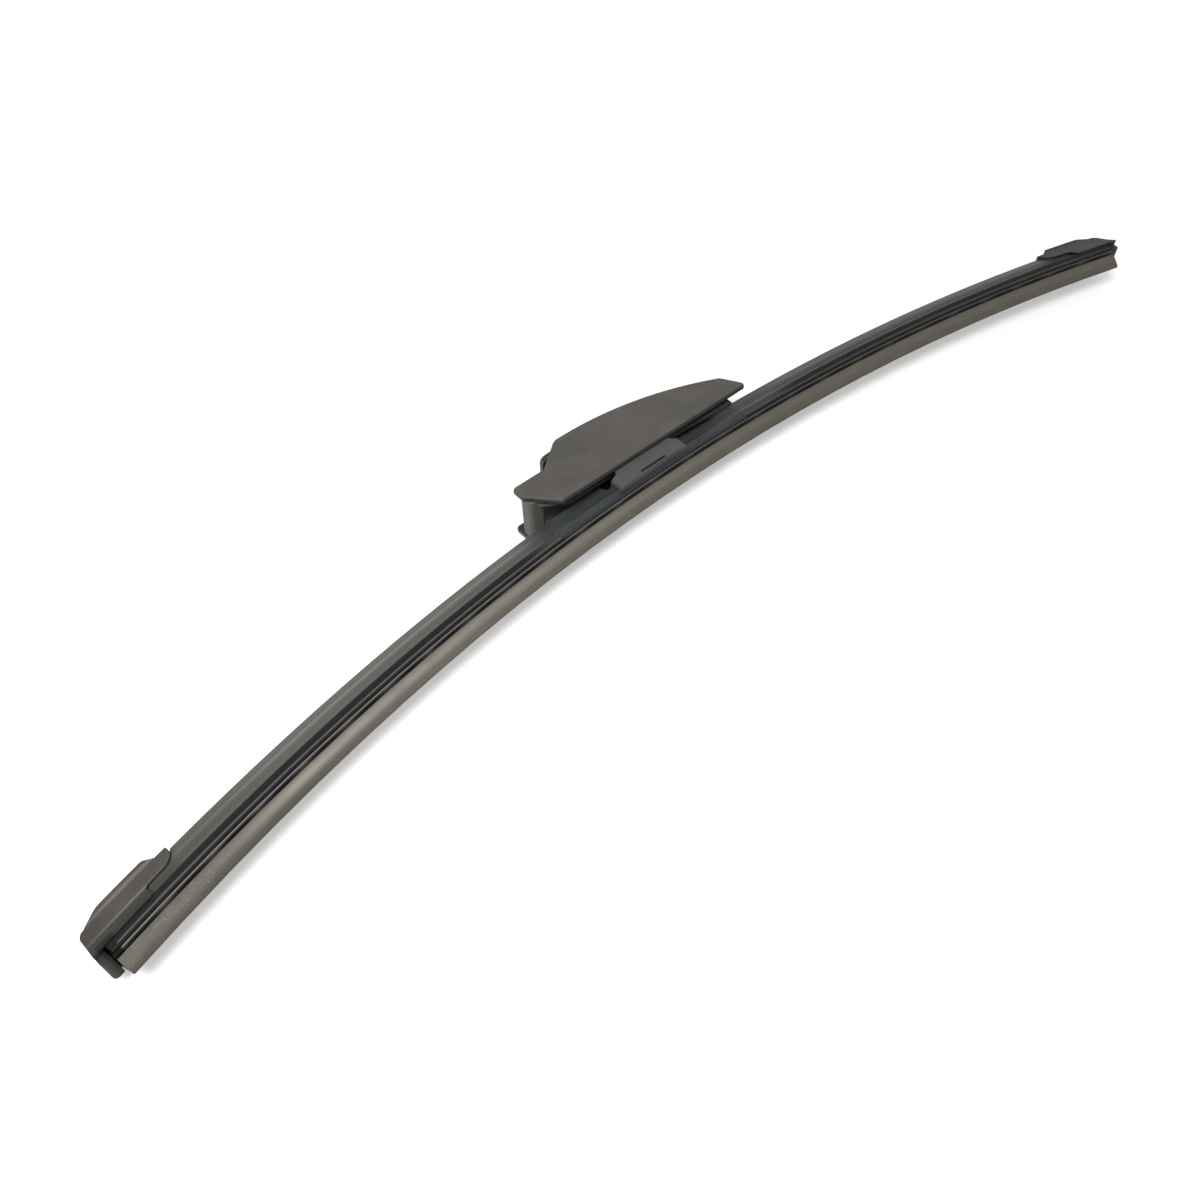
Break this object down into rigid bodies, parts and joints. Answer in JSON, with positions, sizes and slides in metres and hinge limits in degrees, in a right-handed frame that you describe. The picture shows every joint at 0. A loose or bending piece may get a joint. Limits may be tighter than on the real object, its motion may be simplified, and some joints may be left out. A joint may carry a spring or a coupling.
{
  "type": "wiper blade",
  "caption": "Flat bowed wiper blade lying on its side: wedge rubber strip on spring rails, fin spoiler, end caps and a hook connector with a rocking adapter and lift-up cover.",
  "frame": {"origin": "on the pivot axis of the connector, midway across the blade", "axes": "+X along the blade from the near end to the far end of the picture, +Y away from the glass, +Z along the pivot pin, up as the blade lies on its side"},
  "size_m": [0.3998, 0.0606, 0.0188],
  "materials": {
    "wiping_rubber": "dusty matt natural rubber",
    "spoiler": "satin black elastomer",
    "cap_plastic": "fine matt moulded black",
    "base_plastic": "matt moulded black",
    "adapter_plastic": "matt moulded black",
    "cover_plastic": "fine matt moulded charcoal",
    "rail_steel": "black coated spring steel",
    "pin_steel": "plain steel"
  },
  "bodies": {
    "blade": {"wiping_rubber": "wiping_rubber", "rail_near": "rail_steel", "rail_far": "rail_steel", "spoiler_left": "spoiler", "spoiler_right": "spoiler", "end_cap_left": "cap_plastic", "end_cap_right": "cap_plastic", "base_clamp": "base_plastic", "pivot_pin": "pin_steel"},
    "adapter": {"hook_adapter": "adapter_plastic"},
    "cover": {"lift_cover": "cover_plastic"}
  },
  "joints": [
    {"name": "adapter_rock", "type": "hinge", "parent": "blade", "child": "adapter", "pos_m": [0, 0, 0], "axis": [0, 0, 1], "range_deg": [-5, 5]},
    {"name": "cover_lift", "type": "hinge", "parent": "adapter", "child": "cover", "pos_m": [-0.0358, -0.0012, 0], "axis": [0, 0, 1], "range_deg": [0, 80]}
  ]
}
